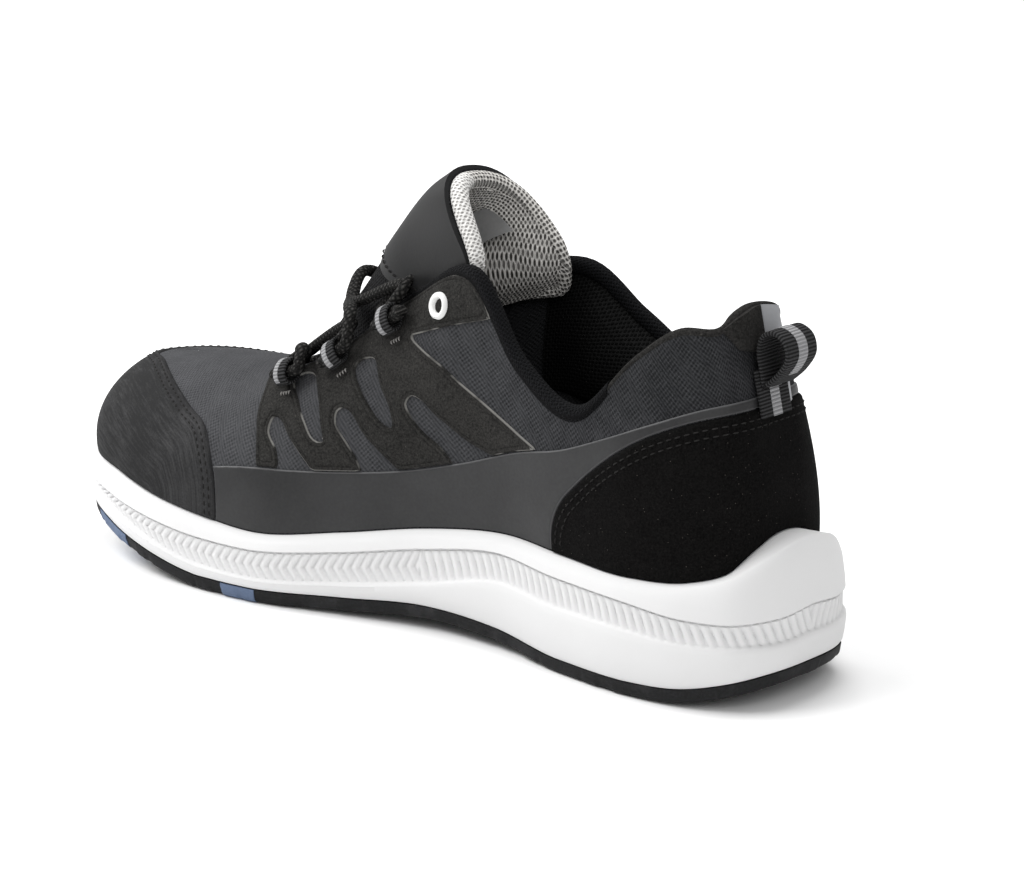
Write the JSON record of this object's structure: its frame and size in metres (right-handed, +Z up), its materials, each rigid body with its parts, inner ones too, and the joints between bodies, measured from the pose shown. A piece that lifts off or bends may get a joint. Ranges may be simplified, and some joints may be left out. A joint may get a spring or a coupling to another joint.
{
  "type": "safety sneaker",
  "caption": "Low lace-up safety sneaker with a bulbous safety toe, ribbed foam midsole, rubber outsole, arched tongue, webbing lace loops and a heel pull loop; hollow, open at the collar.",
  "frame": {"origin": "bottom centre of the shoe's box", "axes": "+X toward the toe, +Y the side seen in the picture (the inner side of a right shoe), +Z up"},
  "size_m": [0.3026, 0.1098, 0.1479],
  "materials": {
    "outsole": "matte, fine texture",
    "outsole_insert_toe": "matte blue",
    "outsole_insert_ball": "matte blue",
    "midsole": "white foam, satin",
    "insole": "dark knit over foam",
    "upper": "dark blue-grey woven fabric",
    "toe_cap": "black, fine grain",
    "heel_counter": "black nubuck",
    "side_film_near": "dark grey welded film",
    "side_film_far": "dark grey welded film",
    "eyestay_near": "black-brown microfibre",
    "eyestay_far": "black-brown microfibre",
    "collar_cuff": "dark spacer mesh",
    "collar_lining": "black spacer mesh over foam",
    "heel_panel": "light grey satin",
    "pull_loop": "black ribbed webbing",
    "tongue": "dark grey, padded",
    "lace": "dark grey braid",
    "eyelet_near": "white",
    "eyelet_far": "white",
    "lace_loop_near_1": "black ribbed webbing",
    "lace_loop_near_2": "black ribbed webbing",
    "lace_loop_near_3": "black ribbed webbing",
    "lace_loop_far_1": "black ribbed webbing",
    "lace_loop_far_2": "black ribbed webbing",
    "lace_loop_far_3": "black ribbed webbing"
  },
  "bodies": {
    "root": {"outsole": "outsole", "outsole_insert_toe": "outsole_insert_toe", "outsole_insert_ball": "outsole_insert_ball", "midsole": "midsole", "insole": "insole", "upper": "upper", "toe_cap": "toe_cap", "heel_counter": "heel_counter", "side_film_near": "side_film_near", "side_film_far": "side_film_far", "eyestay_near": "eyestay_near", "eyestay_far": "eyestay_far", "collar_cuff": "collar_cuff", "collar_lining": "collar_lining", "heel_panel": "heel_panel", "pull_loop": "pull_loop", "tongue": "tongue", "lace": "lace", "eyelet_near": "eyelet_near", "eyelet_far": "eyelet_far", "lace_loop_near_1": "lace_loop_near_1", "lace_loop_near_2": "lace_loop_near_2", "lace_loop_near_3": "lace_loop_near_3", "lace_loop_far_1": "lace_loop_far_1", "lace_loop_far_2": "lace_loop_far_2", "lace_loop_far_3": "lace_loop_far_3"}
  },
  "joints": []
}
